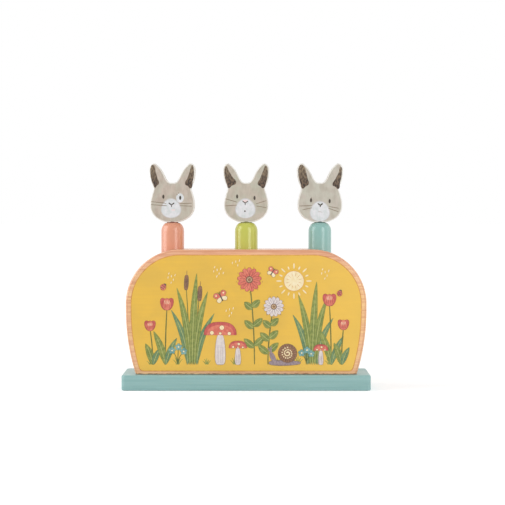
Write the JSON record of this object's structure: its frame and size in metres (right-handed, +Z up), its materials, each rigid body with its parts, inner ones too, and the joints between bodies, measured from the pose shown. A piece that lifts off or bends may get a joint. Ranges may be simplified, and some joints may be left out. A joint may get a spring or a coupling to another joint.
{
  "type": "pop-up animal toy",
  "caption": "Wooden pop-up toy: rabbit heads on round pegs stand on springs in the bores of a rounded block, which is screwed to a flat board.",
  "frame": {"origin": "centre of the base board's underside", "axes": "+X to the right as seen from the front, +Y to the back, +Z up; the printed face looks to -Y"},
  "size_m": [0.24, 0.066, 0.2191],
  "materials": {
    "board_paint": "matte teal paint",
    "block_paint": "matte coral paint, yellow printed face",
    "coral_lacquer": "satin coral lacquer",
    "lime_lacquer": "satin lime lacquer",
    "teal_lacquer": "satin teal lacquer",
    "printed_plywood": "matte greige print with a pale cut edge",
    "birch": "bare birch",
    "spring_steel": "drawn wire",
    "zinc_steel": "bright zinc plate"
  },
  "bodies": {
    "housing": {"base_board": "board_paint", "body_block": "block_paint", "base_screw_1": "zinc_steel", "base_screw_2": "zinc_steel", "base_screw_3": "zinc_steel", "base_screw_4": "zinc_steel", "spring_washer_left": "zinc_steel", "spring_washer_middle": "zinc_steel", "spring_washer_right": "zinc_steel", "spring_screw_left": "zinc_steel", "spring_screw_middle": "zinc_steel", "spring_screw_right": "zinc_steel"},
    "coil_left": {"spring_left": "spring_steel"},
    "coil_middle": {"spring_middle": "spring_steel"},
    "coil_right": {"spring_right": "spring_steel"},
    "rabbit_left": {"peg_left": "coral_lacquer", "head_dowel_left": "birch", "rabbit_head_left": "printed_plywood"},
    "rabbit_middle": {"peg_middle": "lime_lacquer", "head_dowel_middle": "birch", "rabbit_head_middle": "printed_plywood"},
    "rabbit_right": {"peg_right": "teal_lacquer", "head_dowel_right": "birch", "rabbit_head_right": "printed_plywood"}
  },
  "joints": [
    {"name": "press_left", "type": "slide", "parent": "housing", "child": "coil_left", "axis": [0, 0, 1], "range_m": [-0.0278, 0], "stiffness_N_per_m": 227, "springref_m": 0.002, "deforming": ["spring_left"]},
    {"name": "lift_left", "type": "slide", "parent": "coil_left", "child": "rabbit_left", "axis": [0, 0, 1], "range_m": [0, 0.05]},
    {"name": "press_middle", "type": "slide", "parent": "housing", "child": "coil_middle", "axis": [0, 0, 1], "range_m": [-0.0278, 0], "stiffness_N_per_m": 227, "springref_m": 0.002, "deforming": ["spring_middle"]},
    {"name": "lift_middle", "type": "slide", "parent": "coil_middle", "child": "rabbit_middle", "axis": [0, 0, 1], "range_m": [0, 0.05]},
    {"name": "press_right", "type": "slide", "parent": "housing", "child": "coil_right", "axis": [0, 0, 1], "range_m": [-0.0278, 0], "stiffness_N_per_m": 227, "springref_m": 0.002, "deforming": ["spring_right"]},
    {"name": "lift_right", "type": "slide", "parent": "coil_right", "child": "rabbit_right", "axis": [0, 0, 1], "range_m": [0, 0.05]}
  ]
}
